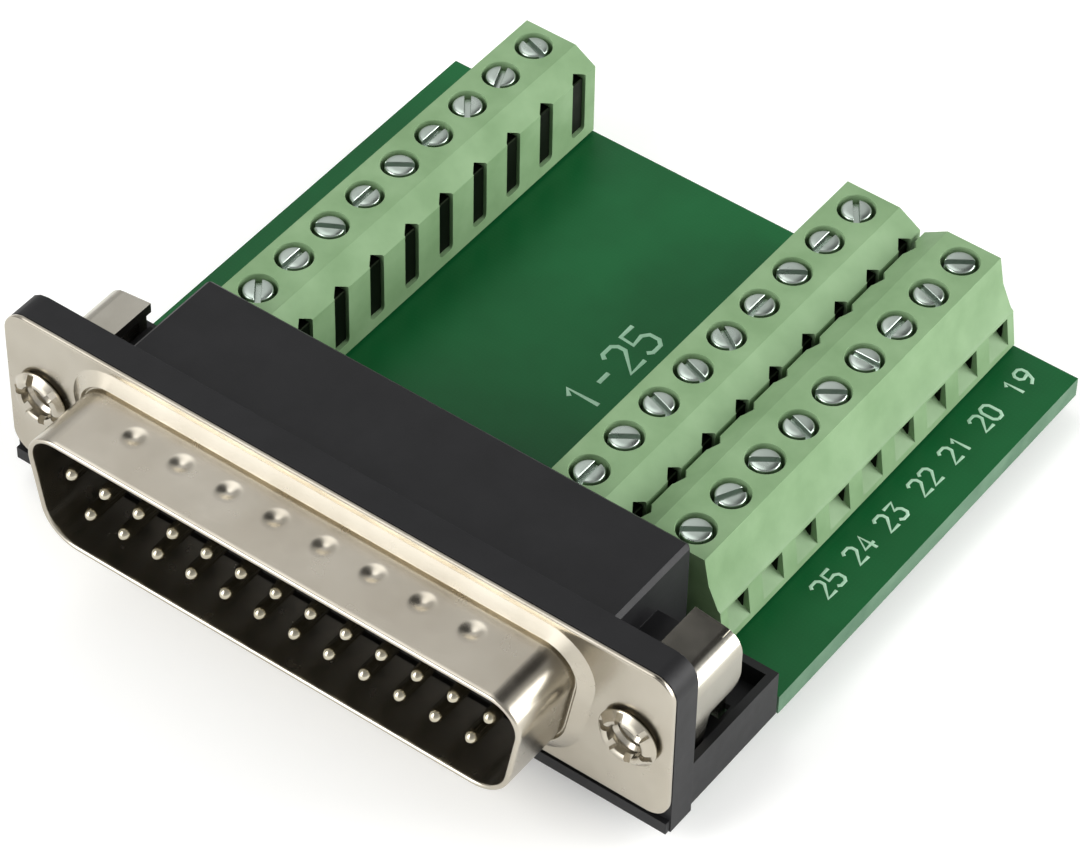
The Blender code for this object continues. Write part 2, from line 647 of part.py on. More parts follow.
def terminal_block(row):
    """Nine-pole moulding: screw wells, wire entries in front, pointed slots in the back."""
    turned = Matrix.Translation((BLOCK_X[row], 0, 0)) @ Matrix.Diagonal((ENTRY_SIDE[row], 1, 1, 1))
    section = [(FRONT_TOP, BLOCK_TOP), (-BACK_TOP, BLOCK_TOP), (-BACK_SLOPE_END, BACK_SLOPE_Z),
               (-BACK_FOOT, SEAT), (FRONT_FOOT, SEAT),
               (FRONT_LEDGE, FRONT_LEDGE_Z), (FRONT_SHOULDER, FRONT_SHOULDER_Z)]
    name = "terminal_block_" + row
    block = plate(name, section, "y", BLOCK_NEAR, BLOCK_FAR, PARTS, (turned,))

    tail = TERMINAL_TAIL / 2
    tails = boxes(name + "_tails", [((BLOCK_X[row] - tail, y - tail, TAIL_BOTTOM),
                                     (BLOCK_X[row] + tail, y + tail, SEAT + TERMINAL_TAIL))
                                    for y in pole_centres()])
    well = WELL_DIAMETER / 2
    wells = cones(name + "_wells", [((BLOCK_X[row], y, WELL_FLOOR), (BLOCK_X[row], y, 2 * BLOCK_TOP),
                                     well, well) for y in pole_centres()], WELL_SIDES)

    steps = [Matrix.Translation((0, y, 0)) for y in pole_centres()]
    outside = BACK_FOOT + SEAT_GAP
    entry = [(ENTRY_BACK, ENTRY_TOP), (outside, ENTRY_TOP), (outside, ENTRY_SILL),
             (ENTRY_SILL_START, ENTRY_FLOOR), (ENTRY_BACK, ENTRY_FLOOR)]
    entries = plate(name + "_entries", entry, "y", -ENTRY_WIDTH / 2, ENTRY_WIDTH / 2,
                    copies=[step @ turned for step in steps])
    half = SLOT_WIDTH / 2
    slot = fillet([(0, SLOT_PEAK, 0), (-half, SLOT_SHOULDER, 0), (-half, SLOT_BOTTOM, SLOT_CORNER),
                   (half, SLOT_BOTTOM, SLOT_CORNER), (half, SLOT_SHOULDER, 0)], 1)
    slots = plate(name + "_slots", slot, "x", -outside, SLOT_DEPTH - BACK_FOOT,
                  copies=[step @ turned for step in steps])
    join(block, "UNION", tails)
    join(block, "DIFFERENCE", wells, entries, slots)
    return finish(block, material("green_polyamide", (0.33, 0.53, 0.26), 0.45))


def screw_mesh():
    """Turned screw with a slot across its head, its axis on the origin."""
    side = SCREW_DIAMETER / 2
    bottom = WELL_FLOOR + SEAT_GAP
    profile = [(0.0, SCREW_TOP), (side, SCREW_TOP), (side, bottom), (0.0, bottom)]
    bm = bmesh.new()
    verts = [bm.verts.new((x, 0.0, z)) for x, z in profile]
    for start, end in zip(verts, verts[1:]):
        bm.edges.new((start, end))
    screw = make_object("screw_profile", mesh_from("screw_profile", bm))
    turn = screw.modifiers.new("turn", "SCREW")
    turn.steps = SCREW_SIDES
    turn.render_steps = SCREW_SIDES
    turn.use_merge_vertices = True
    turn.merge_threshold = 0.0001 * MM
    half = SCREW_SLOT_WIDTH / 2
    slot = boxes("screw_slot", [((-SCREW_DIAMETER, -half, SCREW_TOP - SCREW_SLOT_DEPTH),
                                 (SCREW_DIAMETER, half, SCREW_TOP + SCREW_SLOT_DEPTH))])
    join(screw, "DIFFERENCE", slot)
    return to_mesh(screw)


def terminal_screws():
    steel = material("zinc_plated_steel", (0.55, 0.58, 0.6), 0.35, 1.0)
    shape = screw_mesh()
    for row, turns in SCREW_TURNS.items():
        for number, (y, turn) in enumerate(zip(pole_centres(), turns), start=1):
            screw = make_object("screw_%s_%d" % (row, number), shape, PARTS)
            screw.location = (BLOCK_X[row], y, 0.0)
            screw.rotation_euler = (0.0, 0.0, math.radians(turn))
            finish(screw, steel, 40)


def main():
    clear_scene()
    datum = bpy.data.objects.new("datum", None)
    collection(PARTS).objects.link(datum)
    datum.location = (0.0, DATUM_Y, DATUM_Z)
    bpy.context.view_layer.update()
    front_shell()
    connector_housing()
    bracket(-1)
    bracket(1)
    contact_pins()
    circuit_board()
    for row in BLOCK_X:
        terminal_block(row)
    terminal_screws()


main()
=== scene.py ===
# %% [markdown]
# A right-angle D-sub plug stands on a small green circuit board with three rows of screw terminals.
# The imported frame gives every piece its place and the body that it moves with. This file adds what
# the eye looks for: drawn nickel sheet, black polyester, solder mask, green polyamide and small zinc
# plated screws. Each step first says what a piece is on the real object and why it is made this way.

import math

import bmesh
import bpy
import numpy as np
from mathutils import Matrix, Vector


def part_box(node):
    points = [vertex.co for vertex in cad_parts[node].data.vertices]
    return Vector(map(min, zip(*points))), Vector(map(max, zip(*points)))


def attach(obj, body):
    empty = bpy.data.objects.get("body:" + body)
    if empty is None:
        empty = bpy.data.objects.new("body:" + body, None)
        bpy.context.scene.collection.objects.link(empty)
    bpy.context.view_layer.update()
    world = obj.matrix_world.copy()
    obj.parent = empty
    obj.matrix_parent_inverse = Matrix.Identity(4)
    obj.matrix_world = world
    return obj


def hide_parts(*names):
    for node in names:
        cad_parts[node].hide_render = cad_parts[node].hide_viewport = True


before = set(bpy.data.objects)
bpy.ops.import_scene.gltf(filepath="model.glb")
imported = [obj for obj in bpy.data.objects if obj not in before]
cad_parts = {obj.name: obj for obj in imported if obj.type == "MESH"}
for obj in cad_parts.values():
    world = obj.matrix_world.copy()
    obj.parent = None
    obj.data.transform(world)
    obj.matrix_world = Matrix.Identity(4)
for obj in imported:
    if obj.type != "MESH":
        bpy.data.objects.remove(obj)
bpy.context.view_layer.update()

# %% [markdown]
# Lengths are written in millimetres and multiplied by MM at the last moment. The plug's own drawing
# has its origin in the middle of the mating face: x runs along the plug, y into it and z up. One
# offset, the datum, moves a shape from that drawing to its place in the frame.

# %% Units and the plug's datum
MM = 0.001
DATUM = np.array([0.0, -20.9, 9.1]) * MM
BOARD_TOP, BOARD_UNDER = -6.0, -7.6
INSERT_X = 23.52

ROW_X = {"left": -18.0, "middle": 9.16, "right": 17.5}
ENTRY_SIDE = {"left": -1, "middle": -1, "right": 1}
BLOCK_NEAR, PITCH = 13.41, 3.81
POLES = [BLOCK_NEAR + (i + 0.5) * PITCH for i in range(9)]


def linear(colour):
    """sRGB hex to linear: each channel c goes through ((c + 0.055) / 1.055) ** 2.4 above 0.04."""
    parts = np.array([int(colour[i:i + 2], 16) for i in (1, 3, 5)]) / 255.0
    curve = np.where(parts <= 0.04045, parts / 12.92, ((parts + 0.055) / 1.055) ** 2.4)
    return (*curve.tolist(), 1.0)


def per_mm(size):
    """Scale of a texture whose features are that many millimetres, on Object coordinates in metres."""
    return 1.0 / (size * MM)


# %% [markdown]
# A surface is a grid of points, worked out as arrays. Two neighbouring rows and two neighbouring
# columns share a quad, and a grid that comes back to its start has one more strip of quads. Doubles
# are merged and normals turned outwards as soon as a mesh is made, so that later cuts and bevels
# start from a clean solid.

# %% From arrays to meshes
def placed(name, data):
    """New object of this data at the scene's origin."""
    obj = bpy.data.objects.new(name, data)
    bpy.context.scene.collection.objects.link(obj)
    return obj


def grid_faces(rows, columns, close_rows=False, close_columns=False):
    """Quads of a grid whose point (i, j) has the number i * columns + j."""
    i = np.arange(rows if close_rows else rows - 1)[:, None]
    j = np.arange(columns if close_columns else columns - 1)[None, :]
    i2, j2 = (i + 1) % rows, (j + 1) % columns
    return np.stack([i * columns + j, i * columns + j2, i2 * columns + j2, i2 * columns + j],
                    axis=-1).reshape(-1, 4)


def build(name, points, faces, caps=()):
    """Object at the origin whose mesh has these points, quads and flat caps."""
    mesh = bpy.data.meshes.new(name)
    every_face = np.asarray(faces).tolist() + [list(cap) for cap in caps]
    mesh.from_pydata(np.asarray(points).reshape(-1, 3).tolist(), [], every_face)
    mesh.validate()
    return tidy(placed(name, mesh))


def tidy(obj, merge=0.0005 * MM):
    """Merges doubles and turns every face outwards."""
    bm = bmesh.new()
    bm.from_mesh(obj.data)
    bmesh.ops.remove_doubles(bm, verts=bm.verts, dist=merge)
    bmesh.ops.recalc_face_normals(bm, faces=bm.faces)
    bm.to_mesh(obj.data)
    bm.free()
    return obj


def points_of(mesh):
    """The mesh's points as an array with a row for each."""
    co = np.zeros(len(mesh.vertices) * 3)
    mesh.vertices.foreach_get("co", co)
    return co.reshape(-1, 3)


# %% [markdown]
# Blender's modifiers finish a shape: Boolean cuts holes, Bevel rounds edges, and Weighted Normal
# keeps large flat faces flat in the shading beside their rounded edges. A cut is worked into the
# mesh at once, so that its tools can be removed. A bevel can stay live on the finished piece.

# %% Finishing a shape
def smooth(obj, angle=32):
    """Smooth shading with sharp edges above an angle, and normals that favour the large faces."""
    obj.data.shade_smooth()
    obj.data.set_sharp_from_angle(angle=math.radians(angle))
    step = obj.modifiers.new("even_shading", "WEIGHTED_NORMAL")
    step.keep_sharp = True
    return obj


def bake_modifiers(obj):
    """Replaces the object's mesh by what its modifiers make of it."""
    bpy.context.view_layer.update()
    depsgraph = bpy.context.evaluated_depsgraph_get()
    mesh = bpy.data.meshes.new_from_object(obj.evaluated_get(depsgraph))
    obj.modifiers.clear()
    obj.data = mesh
    return obj


def cut(obj, operation, *tools):
    """Exact Boolean of an object with tools, which are removed after it."""
    for tool in tools:
        step = obj.modifiers.new(operation.lower(), "BOOLEAN")
        step.operation = operation
        step.solver = "EXACT"
        step.object = tool
    bake_modifiers(obj)
    for tool in tools:
        bpy.data.objects.remove(tool, do_unlink=True)
    return obj


def bevel(obj, width, segments=2, angle=35):
    """Rounded edges of a given width in millimetres."""
    step = obj.modifiers.new("soft_edges", "BEVEL")
    step.width = width * MM
    step.segments = segments
    step.limit_method = "ANGLE"
    step.angle_limit = math.radians(angle)
    step.use_clamp_overlap = True
    step.harden_normals = False
    return obj


def merged(name, parts):
    """One object that holds the meshes of several, which are removed."""
    bm = bmesh.new()
    for part in parts:
        bm.from_mesh(part.data)
        bpy.data.objects.remove(part, do_unlink=True)
    mesh = bpy.data.meshes.new(name)
    bm.to_mesh(mesh)
    bm.free()
    return placed(name, mesh)


# %% [markdown]
# Sheet metal and mouldings are drawn as outlines with rounded corners. An outline made solid along
# an axis is a prism, and a profile turned about an axis is a lathe's work. These functions make
# most of the pieces, and the real ones get their form in much the same ways.

# %% Outlines, prisms and turned shapes
def rounded(corners, radii, arc=6, sides=1, closed=True):
    """Path through flat corners: each corner is an arc of its radius, each side is split evenly.

    An arc starts and ends radius / tan(half the corner's angle) away from the corner, and its
    points turn by equal angles about a centre on the bisector.
    """
    corners = np.asarray(corners, float)
    count = len(corners)
    sides = [sides] * count if np.isscalar(sides) else list(sides)
    ends = []
    for i in range(count):
        here, radius = corners[i], radii[i]
        if radius <= 0 or (not closed and i in (0, count - 1)):
            ends.append(here[None, :])
            continue
        back = corners[i - 1] - here
        on = corners[(i + 1) % count] - here
        back, on = back / np.linalg.norm(back), on / np.linalg.norm(on)
        half = math.acos(np.clip(back @ on, -1, 1)) / 2
        bisector = (back + on) / np.linalg.norm(back + on)
        centre = here + bisector * radius / math.sin(half)
        first = here + back * radius / math.tan(half) - centre
        last = here + on * radius / math.tan(half) - centre
        sweep = math.atan2(first[0] * last[1] - first[1] * last[0], first @ last)
        turn = np.linspace(0.0, sweep, arc + 1)[:, None]
        across = np.array([-first[1], first[0]])
        ends.append(centre + np.cos(turn) * first + np.sin(turn) * across)
    pieces = []
    for i, arc_points in enumerate(ends):
        pieces.append(arc_points)
        if closed or i < count - 1:
            following = ends[(i + 1) % count][0]
            share = np.linspace(0.0, 1.0, sides[i] + 1)[1:-1, None]
            pieces.append(arc_points[-1] * (1 - share) + following * share)
    return np.concatenate(pieces)


def prism(name, outline, axis, low, high):
    """Flat outline made solid between low and high along an axis, with its places in the datum.

    Across x the outline is (y, z), across y it is (x, z) and across z it is (x, y).
    """
    outline = np.asarray(outline, float)
    order = {"x": (2, 0, 1), "y": (0, 2, 1), "z": (0, 1, 2)}[axis]
    levels = [np.column_stack([outline, np.full(len(outline), level)])[:, order]
              for level in (low, high)]
    count = len(outline)
    caps = [range(count - 1, -1, -1), range(count, 2 * count)]
    points = np.concatenate(levels) * MM + DATUM
    return build(name, points, grid_faces(2, count, close_columns=True), caps)


def lathe(name, profile, centre, axis="z", sides=32):
    """Profile of (radius, height) turned about an axis through a centre, in the datum.

    The point at angle a and profile step k is (r cos a, r sin a, h), with h along the axis.
    """
    profile = np.asarray(profile, float)
    angle = np.linspace(0, 2 * math.pi, sides, endpoint=False)[None, :]
    radius, height = profile[:, 0, None], profile[:, 1, None]
    flat = np.stack([radius * np.cos(angle), radius * np.sin(angle), height + 0 * angle], axis=-1)
    if axis == "y":
        flat = flat[..., [0, 2, 1]]
    points = (flat + np.asarray(centre)) * MM + DATUM
    last = (len(profile) - 1) * sides
    caps = [range(sides - 1, -1, -1), range(last, last + sides)]
    return build(name, points, grid_faces(len(profile), sides, close_columns=True), caps)


def block(name, low, high):
    """Box between two corners in the datum, for cutting or joining."""
    low, high = np.minimum(low, high), np.maximum(low, high)
    outline = [(low[0], low[1]), (high[0], low[1]), (high[0], high[1]), (low[0], high[1])]
    return prism(name, outline, "z", low[2], high[2])


# %% [markdown]
# Some pieces keep the frame's own form. A frame node's mesh is loose triangles, so a copy of it is
# merged first, and what is flat becomes one face, which a bevel needs. Every finished piece is then
# dressed: it gets its material, the body that it moves with and the frame nodes that it stands for.

# %% Pieces from the frame, and dressing
def from_node(name, node):
    """A copy of a CAD node's mesh with its loose triangles merged and flat areas made whole."""
    obj = placed(name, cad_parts[node].data.copy())
    bm = bmesh.new()
    bm.from_mesh(obj.data)
    bmesh.ops.remove_doubles(bm, verts=bm.verts, dist=0.002 * MM)
    bmesh.ops.dissolve_limit(bm, angle_limit=math.radians(1.0), verts=bm.verts, edges=bm.edges)
    bm.to_mesh(obj.data)
    bm.free()
    return obj


def dress(obj, finish, body="root", stands_for=()):
    """Gives a piece its material, the body that it rides on and the nodes it stands for."""
    obj.data.materials.clear()
    for each in finish if isinstance(finish, (list, tuple)) else [finish]:
        obj.data.materials.append(each)
    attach(obj, body)
    if stands_for:
        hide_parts(*stands_for)
    return obj


# %% [markdown]
# A material is a Principled shader with a few nodes in front of it. Colour, roughness and relief
# each come from a noise with a size in millimetres. One helper adds any node, sets its options and
# links or fills its sockets, so a material reads as a short list of what lies on the surface.

# %% Node helper
def add(tree, kind, sockets=None, **settings):
    """Adds a node; a socket's value is a number, a colour, or another node's output to link."""
    node = tree.nodes.new("ShaderNode" + kind)
    for key, value in settings.items():
        setattr(node, key, value)
    for key, value in (sockets or {}).items():
        if isinstance(value, bpy.types.NodeSocket):
            tree.links.new(value, node.inputs[key])
        else:
            node.inputs[key].default_value = value
    return node


def new_material(name):
    """Material with its node tree, its shader and the output that gives Object coordinates."""
    mat = bpy.data.materials.new(name)
    mat.use_nodes = True
    tree = mat.node_tree
    shader = tree.nodes["Principled BSDF"]
    place = add(tree, "TexCoord").outputs["Object"]
    return mat, tree, shader, place


def spread(tree, value, low, high):
    """Maps a 0 to 1 value to a range."""
    return add(tree, "MapRange", {"Value": value, "To Min": low, "To Max": high}).outputs["Result"]


def noise(tree, place, size, detail=3.0, stretch=(1, 1, 1)):
    """Noise with features of a given size in millimetres, longer along the stretched axes."""
    scale = tuple(per_mm(size) / s for s in stretch)
    mapped = add(tree, "Mapping", {"Vector": place, "Scale": scale}).outputs["Vector"]
    return add(tree, "TexNoise", {"Vector": mapped, "Scale": 1.0, "Detail": detail}).outputs["Fac"]


def tint(tree, shader, value, dark, light):
    """Base colour that wanders between two hex colours."""
    ramp = add(tree, "ValToRGB", {"Fac": value})
    ramp.color_ramp.elements[0].position = 0.3
    ramp.color_ramp.elements[1].position = 0.7
    ramp.color_ramp.elements[0].color = linear(dark)
    ramp.color_ramp.elements[1].color = linear(light)
    tree.links.new(ramp.outputs["Color"], shader.inputs["Base Color"])


def relief(tree, shader, height, depth):
    """Bump of a given depth in millimetres."""
    bump = add(tree, "Bump", {"Height": height, "Distance": depth * MM, "Strength": 1.0})
    tree.links.new(bump.outputs["Normal"], shader.inputs["Normal"])


# %% [markdown]
# The front shell, the brackets and the screws are steel, plated with nickel, tin or zinc, and the
# contacts are plated brass. Plating gives a warm or a cool grey with soft reflections: roughness
# from 0.12 to 0.36, uneven where it was handled. Forming leaves marks along the metal that are too
# fine to show in this picture, so they are drawn coarser than the real ones, at 0.12 mm.

# %% Plated metal
METAL_CLOUD, METAL_SMEAR, FORMING_MARKS = 5.0, 1.6, 0.12


def plated(name, dark, light, rough, marks=(6, 1, 1), depth=0.0012):
    """Metal between two greys and two roughnesses, with marks stretched along an axis."""
    mat, tree, shader, place = new_material(name)
    shader.inputs["Metallic"].default_value = 1.0
    tint(tree, shader, noise(tree, place, METAL_CLOUD), dark, light)
    smear = noise(tree, place, METAL_SMEAR, 4.0)
    tree.links.new(spread(tree, smear, rough[0], rough[1]), shader.inputs["Roughness"])
    relief(tree, shader, noise(tree, place, FORMING_MARKS, 2.0, marks), depth)
    return mat


nickel = plated("nickel_plated_drawn_steel", "#B0A99B", "#BCB6A9", (0.18, 0.32))
tin = plated("tin_plated_folded_steel", "#ACA89C", "#BBB7AC", (0.16, 0.30), (1, 6, 1))
brass = plated("plated_turned_brass", "#B3AC98", "#C6C0AE", (0.12, 0.22), (1, 8, 1))
# The zinc greys lean to green: a painted reflection of the green wells round the screw heads.
zinc = plated("zinc_plated_steel_green_reflection", "#A8B5AB", "#BAC5BD", (0.22, 0.36), (1, 1, 1))
# Near black with a green tint: painted shade for the cages inside the slots and entries, not plated
# steel's colour.
cage_painted_shade_steel = plated("cage_steel_painted_shade", "#10150D", "#191F15", (0.5, 0.65), (1, 1, 1))
solder = plated("soldered_tin", "#B9B9B6", "#CDCDCA", (0.18, 0.34), (1, 1, 1), 0.004)

# %% [markdown]
# The housing is black glass-filled polyester, and the terminal housings are light green polyamide.
# A moulding copies the fine grain of its mould, which gives a dull, even sheen, and its colour is a
# little cloudy. The real grain is too fine to show, so it is drawn coarser, at 0.16 and 0.22 mm.
# Both plastics reflect less than the shader's default, because a grained surface scatters light.

# %% Moulded plastics
PLASTIC_CLOUD, PLASTIC_SHEEN = 3.5, 1.2


def moulded(name, dark, light, rough, grain, depth, specular):
    """Plastic between two colours and two roughnesses, with a grain of a size and a depth."""
    mat, tree, shader, place = new_material(name)
    tint(tree, shader, noise(tree, place, PLASTIC_CLOUD, 4.0), dark, light)
    sheen = noise(tree, place, PLASTIC_SHEEN)
    tree.links.new(spread(tree, sheen, rough[0], rough[1]), shader.inputs["Roughness"])
    relief(tree, shader, noise(tree, place, grain, 3.0), depth)
    shader.inputs["Specular IOR Level"].default_value = specular
    return mat


black = moulded("black_moulded_polyester", "#101012", "#161618", (0.46, 0.58), 0.16, 0.005, 0.3)
green = moulded("green_moulded_polyamide", "#76956B", "#87A57C", (0.48, 0.62), 0.22, 0.004, 0.28)

# %% [markdown]
# The board is glass laminate under green solder mask. The mask is a lacquer with a soft gloss, and
# the glass weave under it shows as a faint check: two crossed waves, multiplied. At Scale 1 the
# wave node repeats every 2 pi / 20 units. Here the unit is WEAVE and the Scale 0.5, so the threads
# are 0.28 mm apart. A sawn edge has no mask, so it is matt and paler. The ink is a thin matt film.

# %% Board materials
WEAVE, MASK_CLOUD, MASK_GLOSS = 0.45, 6.0, 2.0


def solder_mask():
    """Green lacquer whose colour and relief follow the crossed threads of the laminate."""
    mat, tree, shader, place = new_material("green_solder_mask")
    mapped = add(tree, "Mapping", {"Vector": place, "Scale": (per_mm(WEAVE),) * 3}).outputs["Vector"]
    threads = [add(tree, "TexWave", {"Vector": mapped, "Scale": 0.5, "Distortion": 0.6,
                                     "Detail": 1.0}, bands_direction=axis).outputs["Fac"]
               for axis in ("X", "Y")]
    check = add(tree, "Math", {0: threads[0], 1: threads[1]}, operation="MULTIPLY").outputs[0]
    cloud = noise(tree, place, MASK_CLOUD, 3.0)
    share = add(tree, "Math", {0: cloud, 1: spread(tree, check, -0.06, 0.06)},
                operation="ADD").outputs[0]
    tint(tree, shader, share, "#0E562B", "#115F31")
    gloss = noise(tree, place, MASK_GLOSS)
    tree.links.new(spread(tree, gloss, 0.3, 0.42), shader.inputs["Roughness"])
    relief(tree, shader, check, 0.002)
    shader.inputs["Specular IOR Level"].default_value = 0.2
    return mat


mask = solder_mask()
sawn = moulded("sawn_glass_laminate", "#4F7058", "#66866D", (0.6, 0.75), 0.1, 0.01, 0.3)
ink = moulded("white_printed_ink", "#A3CDAF", "#BCDFC5", (0.5, 0.6), 0.1, 0.003, 0.3)
faded_ink = moulded("thin_printed_ink", "#8FBE9D", "#A8CFB3", (0.5, 0.6), 0.1, 0.003, 0.3)

# %% [markdown]
# The front shell is drawn from one sheet of 0.4 mm steel: a flange, a raised bead round the root
# and a D-shaped skirt with a rolled lip. Solidify could thicken an open surface, but the sheet's
# edges and the lip would come out square. Here one closed profile, with both sides of the sheet in
# it, is carried round the D. Its columns are close along the top, where eight dents are pushed in by
# a formula, to grip the shell of a socket.

# %% Front shell
SKIRT = (38.96, 8.36)
SLANT = math.radians(10.0)
SHEET = 0.4
TOP_CORNER, BOTTOM_CORNER = 1.9, 2.6
SKIRT_FOOT, SKIRT_LIP, SKIRT_ROWS = -0.95, -5.6, 48
BEAD = [(2.4, 0.0), (1.65, 0.0), (0.66, -0.57), (0.5, -0.26), (0.4, -0.3), (0.4, -0.9)]
BEAD_RADII = [0, 0.2, 0.06, 0.04, 0.02, 0]
BEAD_INSIDE = [(0.0, -0.5), (0.1, -0.3), (0.5, -0.05), (1.1, 0.12), (1.36, 0.4)]
FLANGE = (53.04, 12.55)
FLANGE_CORNER, FLANGE_HOLE = 1.7, 1.95
FLANGE_EDGE = [(0.12, 0.4), (0.035, 0.365), (0.0, 0.28), (0.0, 0.12), (0.035, 0.035), (0.12, 0.0)]
DENTS, DENT_PITCH, DENT_RADIUS, DENT_DEPTH = 8, 3.82, 1.0, 0.15
DENT_X, DENT_Y = -0.13, -2.4
COLUMNS = dict(arc=10, sides=(400, 12, 120, 12))


def d_outline(offset):
    """The skirt's D, moved outwards by an offset: wide top, short bottom, slanted ends."""
    half, slope = SKIRT[1] / 2, math.tan(SLANT)
    wider = offset / math.cos(SLANT)
    top = SKIRT[0] / 2 + offset * slope + wider
    bottom = SKIRT[0] / 2 - (SKIRT[1] + offset) * slope + wider
    high = half + offset
    radii = [TOP_CORNER + offset] * 2 + [BOTTOM_CORNER + offset] * 2
    return rounded([(top, high), (-top, high), (-bottom, -high), (bottom, -high)], radii, **COLUMNS)


def flange_outline(inset):
    """The flange's rectangle, moved inwards by an inset, with as many points as the D."""
    x, z = np.array(FLANGE) / 2 - inset
    return rounded([(x, z), (-x, z), (-x, -z), (x, -z)], [FLANGE_CORNER - inset] * 4, **COLUMNS)


def sheet_profile():
    """Rows of (offset from the D, y): bead, skirt, half a turn round the lip, inside and back."""
    down = np.linspace(SKIRT_FOOT, SKIRT_LIP, SKIRT_ROWS)
    half_turn = np.linspace(0, math.pi, 9)
    lip_centre = np.array([SHEET / 2, SKIRT_LIP - SHEET / 2])
    outside = rounded(BEAD, BEAD_RADII, arc=5, closed=False)[1:]
    skirt = np.column_stack([np.full(SKIRT_ROWS, SHEET), down])
    lip = lip_centre + SHEET / 2 * np.column_stack([np.cos(half_turn), -np.sin(half_turn)])
    inside = np.column_stack([np.zeros(SKIRT_ROWS), down[::-1]])
    return np.concatenate([outside, skirt, lip, inside, BEAD_INSIDE])


def press_dents(points):
    """Lowers z by depth / 2 * (cos(pi r / R) + 1) where the nearest dent's centre is r < R away."""
    x, y, z = points[..., 0], points[..., 1], points[..., 2]
    last = DENTS - 1
    number = np.clip(np.round((x - DENT_X) / DENT_PITCH + last / 2), 0, last)
    away = np.hypot(x - DENT_X - (number - last / 2) * DENT_PITCH, y - DENT_Y)
    on_top = (z > SKIRT[1] / 2 - 0.01) & (z < SKIRT[1] / 2 + SHEET + 0.01)
    dish = np.where(on_top & (away < DENT_RADIUS), np.cos(away / DENT_RADIUS * math.pi) + 1, 0.0)
    points[..., 2] -= dish * DENT_DEPTH / 2


def front_shell():
    """Point (k, j) is point j of an outline moved by row k's offset, at row k's y."""
    rows = [(d_outline(offset), y) for offset, y in sheet_profile()]
    rows += [(flange_outline(inset), y) for inset, y in FLANGE_EDGE]
    points = np.stack([np.column_stack([o[:, 0], np.full(len(o), y), o[:, 1]]) for o, y in rows])
    press_dents(points)
    shell = build("shell_sheet", points.reshape(-1, 3) * MM + DATUM,
                  grid_faces(len(rows), points.shape[1], True, True))
    holes = [lathe("hole", [(FLANGE_HOLE, -0.4), (FLANGE_HOLE, 0.8)], (side * INSERT_X, 0, 0), "y", 40)
             for side in (1, -1)]
    return smooth(cut(shell, "DIFFERENCE", merged("holes", holes)), 40)


shell = dress(front_shell(), nickel, stands_for=["front_shell"])
print("shell faces", len(shell.data.polygons))

# %% [markdown]
# The housing is one moulding: the pin block, the wings behind the flange, a hood over the bent
# contacts and a tray round each bracket. It could be drawn again, but the frame's own solid has its
# true form, so a merged copy with rounded edges is the whole job, and those edges catch the light.
# Its wings are moved forward until they touch the flange, as the real ones do.

# %% Connector housing
WING_FRONT, FLANGE_BACK = 0.65, 0.42


def black_housing():
    """Moves the points of the wings' front to the back of the flange, then rounds every edge."""
    obj = from_node("black_housing", "connector_housing")
    co = points_of(obj.data)
    on_front = np.abs(co[:, 1] - DATUM[1] - WING_FRONT * MM) < 0.01 * MM
    co[on_front, 1] = DATUM[1] + FLANGE_BACK * MM
    obj.data.vertices.foreach_set("co", co.ravel())
    return smooth(bevel(obj, 0.14, 3), 50)


dress(black_housing(), black, stands_for=["connector_housing"])

# %% [markdown]
# The contacts are turned rods with a bullet nose, thinner behind the insulator and bent down to
# the board. A bevelled curve with a radius at each of its points could follow them too. Here a tube
# of rings, each across the direction of the centre line, is worked out by one formula, and its
# rings stand close just where the nose and the bend need them.

# %% Contact pins
PINS, UPPER_PINS = 25, 13
UPPER_ROW, LOWER_ROW = (1.42, 9.74), (-1.42, 6.9)
PIN_RADIUS, TAIL_RADIUS, PIN_SIDES = 0.51, 0.32, 20
PIN_TIP, NOSE_LENGTH, PIN_END, BEND, TAIL_END = -5.5, 0.75, 2.5, 0.9, -8.9


def pin_place(number):
    """A pin's x, its height and how far back its tail goes down: 13 pins above, 12 below."""
    low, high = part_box("contact_pin_%d" % number)
    x = ((low.x + high.x) / 2 - DATUM[0]) / MM
    return (x, *(UPPER_ROW if number <= UPPER_PINS else LOWER_ROW))


def pin_tube(x, z, back):
    """Ring k is centre + r (cos a * X + sin a * N), with N square to X and to the path."""
    quarter = np.linspace(0.0, math.pi / 2, 9)
    nose = quarter[1:]
    y = np.concatenate([PIN_TIP + NOSE_LENGTH * (1 - np.cos(nose)), [PIN_END, PIN_END + 0.1],
                        back - BEND + BEND * np.sin(quarter), [back, back]])
    height = np.concatenate([np.full(10, z), z - BEND + BEND * np.cos(quarter),
                             [TAIL_END + 0.2, TAIL_END]])
    radius = np.concatenate([PIN_RADIUS * np.sin(nose), [PIN_RADIUS, TAIL_RADIUS],
                             np.full(10, TAIL_RADIUS), [TAIL_RADIUS * 0.6]])
    path = np.column_stack([y, height])
    along = np.gradient(path, axis=0)
    along /= np.linalg.norm(along, axis=1, keepdims=True)
    angle = np.linspace(0, 2 * math.pi, PIN_SIDES, endpoint=False)[None, :]
    across = radius[:, None] * np.sin(angle)
    points = np.stack([x + radius[:, None] * np.cos(angle),
                       path[:, 0, None] - along[:, 1, None] * across,
                       path[:, 1, None] + along[:, 0, None] * across], axis=-1)
    last = (len(path) - 1) * PIN_SIDES
    caps = [range(PIN_SIDES), range(last + PIN_SIDES - 1, last - 1, -1)]
    return points * MM + DATUM, grid_faces(len(path), PIN_SIDES, close_columns=True), caps


for number in range(1, PINS + 1):
    points, faces, caps = pin_tube(*pin_place(number))
    pin = smooth(build("pin_%d" % number, points, faces, caps), 50)
    dress(pin, brass, stands_for=["contact_pin_%d" % number])
print(PINS, "pins of", len(pin.data.polygons), "faces")

# %% [markdown]
# Each bracket is a strip of tinned steel, folded over behind the wing. Its side is cut back to a
# short flap and a front leg, and its forked rear leg snaps into the board. The strip is drawn as a
# section with a rounded fold of ten steps, so it shines as one curve, and its cut edges are cut
# from it, as a press tool does.

